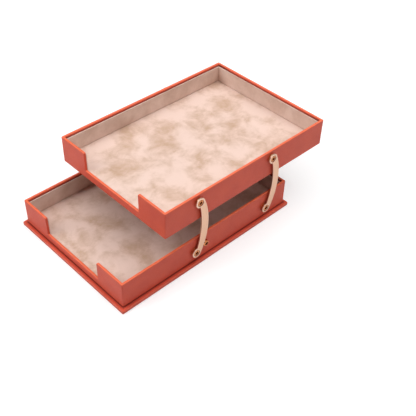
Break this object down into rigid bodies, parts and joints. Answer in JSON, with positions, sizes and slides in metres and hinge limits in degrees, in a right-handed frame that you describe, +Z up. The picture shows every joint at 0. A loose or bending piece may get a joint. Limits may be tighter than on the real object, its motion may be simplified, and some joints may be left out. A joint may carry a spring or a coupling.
{
  "type": "double document tray",
  "caption": "Leather-covered double document tray: an open-fronted lower tray on a plinth and an upper tray on bowed metal links that swings forward and down onto it.",
  "frame": {"origin": "middle of the plinth's underside, on the desk", "axes": "+Z up, -Y towards the open front with the cut-outs, +X to the right as seen from the front"},
  "size_m": [0.241, 0.4058, 0.1284],
  "materials": {
    "leather": "coral-orange fine-grained leather, matte",
    "suede_lining": "pale taupe suede with a brushed nap",
    "underside_suede": "rust-brown suede with a brushed nap",
    "board": "plain fibreboard",
    "link_metal": "satin rose-gold plating",
    "copper_hardware": "polished copper plating",
    "brass_hardware": "turned brass",
    "felt": "dark felt"
  },
  "bodies": {
    "lower_tray": {"plinth_felt": "felt", "plinth_board": "board", "plinth_leather": "leather", "lower_base_board": "board", "lower_left_wall": "board", "lower_right_wall": "board", "lower_back_wall": "board", "lower_front_wall": "board", "lower_leather": "leather", "lower_floor_lining": "suede_lining", "lower_left_lining": "suede_lining", "lower_right_lining": "suede_lining", "lower_back_lining": "suede_lining", "lower_front_left_lining": "suede_lining", "lower_front_right_lining": "suede_lining", "lower_pivot_screws": "copper_hardware", "lower_link_spacers": "brass_hardware", "lower_threaded_inserts": "brass_hardware", "stop_pegs": "copper_hardware"},
    "upper_tray": {"upper_underside": "underside_suede", "upper_base_board": "board", "upper_left_wall": "board", "upper_right_wall": "board", "upper_back_wall": "board", "upper_front_wall": "board", "upper_leather": "leather", "upper_floor_lining": "suede_lining", "upper_left_lining": "suede_lining", "upper_right_lining": "suede_lining", "upper_back_lining": "suede_lining", "upper_front_left_lining": "suede_lining", "upper_front_right_lining": "suede_lining", "upper_pivot_screws": "copper_hardware", "upper_link_spacers": "brass_hardware", "upper_threaded_inserts": "brass_hardware"},
    "right_front_link": {"right_front_link": "link_metal"},
    "right_rear_link": {"right_rear_link": "link_metal"},
    "left_front_link": {"left_front_link": "link_metal"},
    "left_rear_link": {"left_rear_link": "link_metal"}
  },
  "joints": [
    {"name": "right_rear_link_swing", "type": "hinge", "parent": "lower_tray", "child": "right_rear_link", "pos_m": [0.1186, 0.1148, 0.0247], "axis": [1, 0, 0], "range_deg": [0, 53.69]},
    {"name": "right_front_link_swing", "type": "hinge", "parent": "lower_tray", "child": "right_front_link", "pos_m": [0.1186, -0.0307, 0.0247], "axis": [1, 0, 0], "range_deg": [0, 53.69]},
    {"name": "left_front_link_swing", "type": "hinge", "parent": "lower_tray", "child": "left_front_link", "pos_m": [-0.1186, -0.0307, 0.0247], "axis": [1, 0, 0], "range_deg": [0, 53.69]},
    {"name": "left_rear_link_swing", "type": "hinge", "parent": "lower_tray", "child": "left_rear_link", "pos_m": [-0.1186, 0.1148, 0.0247], "axis": [1, 0, 0], "range_deg": [0, 53.69]},
    {"name": "upper_tray_level", "type": "hinge", "parent": "right_rear_link", "child": "upper_tray", "pos_m": [0.1186, 0.11978, 0.11657], "axis": [1, 0, 0], "range_deg": [-53.69, 0]}
  ],
  "couplings": [
    {"joint": "right_front_link_swing", "follows": "right_rear_link_swing", "ratio": 1},
    {"joint": "left_front_link_swing", "follows": "right_rear_link_swing", "ratio": 1},
    {"joint": "left_rear_link_swing", "follows": "right_rear_link_swing", "ratio": 1},
    {"joint": "upper_tray_level", "follows": "right_rear_link_swing", "ratio": -1}
  ]
}
